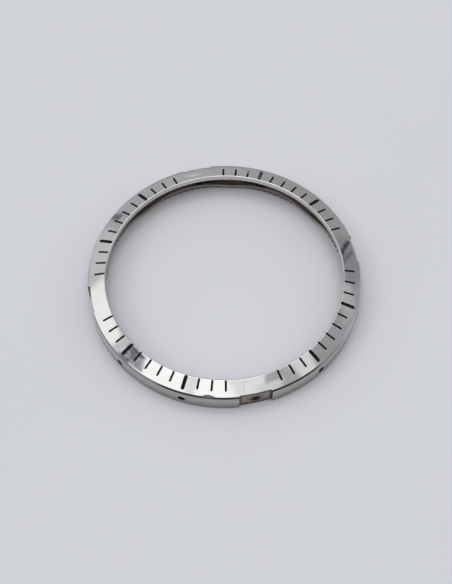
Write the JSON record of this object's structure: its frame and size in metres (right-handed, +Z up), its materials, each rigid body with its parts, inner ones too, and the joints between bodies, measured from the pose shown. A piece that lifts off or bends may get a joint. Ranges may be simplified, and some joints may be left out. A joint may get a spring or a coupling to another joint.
{
  "type": "rotating watch bezel",
  "caption": "Turning diver's watch bezel ring with a polished cone face, black minute marks, empty rider-tab seats, click ring, spring wire and radial set screws.",
  "frame": {"origin": "centre of the flat base, on the turning axis", "axes": "+Z up along the turning axis, out of the marked face; +Y to the tab seat of minute 0 and +X to the tab seat of minute 15"},
  "size_m": [0.0398, 0.0398, 0.0037],
  "materials": {
    "polished_steel": "polished",
    "plain_steel": "satin",
    "spring_steel": "satin",
    "screw_steel": "satin",
    "black_fill": "satin"
  },
  "bodies": {
    "bezel": {"bezel_ring": "polished_steel", "click_ring": "plain_steel", "bar_05": "black_fill", "bar_10": "black_fill", "bar_20": "black_fill", "bar_25": "black_fill", "bar_35": "black_fill", "bar_40": "black_fill", "bar_50": "black_fill", "bar_55": "black_fill", "minute_lines_00_15": "black_fill", "minute_lines_15_30": "black_fill", "minute_lines_30_45": "black_fill", "minute_lines_45_60": "black_fill"},
    "retaining_wire": {"retaining_wire": "spring_steel"},
    "set_screw_05": {"set_screw_05": "screw_steel"},
    "set_screw_10": {"set_screw_10": "screw_steel"},
    "set_screw_20": {"set_screw_20": "screw_steel"},
    "set_screw_25": {"set_screw_25": "screw_steel"},
    "set_screw_35": {"set_screw_35": "screw_steel"},
    "set_screw_40": {"set_screw_40": "screw_steel"},
    "set_screw_50": {"set_screw_50": "screw_steel"},
    "set_screw_55": {"set_screw_55": "screw_steel"}
  },
  "joints": [
    {"name": "bezel_turn", "type": "hinge", "parent": "bezel", "child": "retaining_wire", "pos_m": [0, 0, 0], "axis": [0, 0, 1], "continuous": true},
    {"name": "set_screw_05_travel", "type": "slide", "parent": "bezel", "child": "set_screw_05", "axis": [0.5, 0.866, 0], "range_m": [-0.00045, 0.0004]},
    {"name": "set_screw_10_travel", "type": "slide", "parent": "bezel", "child": "set_screw_10", "axis": [0.866, 0.5, 0], "range_m": [-0.00045, 0.0004]},
    {"name": "set_screw_20_travel", "type": "slide", "parent": "bezel", "child": "set_screw_20", "axis": [0.866, -0.5, 0], "range_m": [-0.00045, 0.0004]},
    {"name": "set_screw_25_travel", "type": "slide", "parent": "bezel", "child": "set_screw_25", "axis": [0.5, -0.866, 0], "range_m": [-0.00045, 0.0004]},
    {"name": "set_screw_35_travel", "type": "slide", "parent": "bezel", "child": "set_screw_35", "axis": [-0.5, -0.866, 0], "range_m": [-0.00045, 0.0004]},
    {"name": "set_screw_40_travel", "type": "slide", "parent": "bezel", "child": "set_screw_40", "axis": [-0.866, -0.5, 0], "range_m": [-0.00045, 0.0004]},
    {"name": "set_screw_50_travel", "type": "slide", "parent": "bezel", "child": "set_screw_50", "axis": [-0.866, 0.5, 0], "range_m": [-0.00045, 0.0004]},
    {"name": "set_screw_55_travel", "type": "slide", "parent": "bezel", "child": "set_screw_55", "axis": [-0.5, 0.866, 0], "range_m": [-0.00045, 0.0004]}
  ]
}
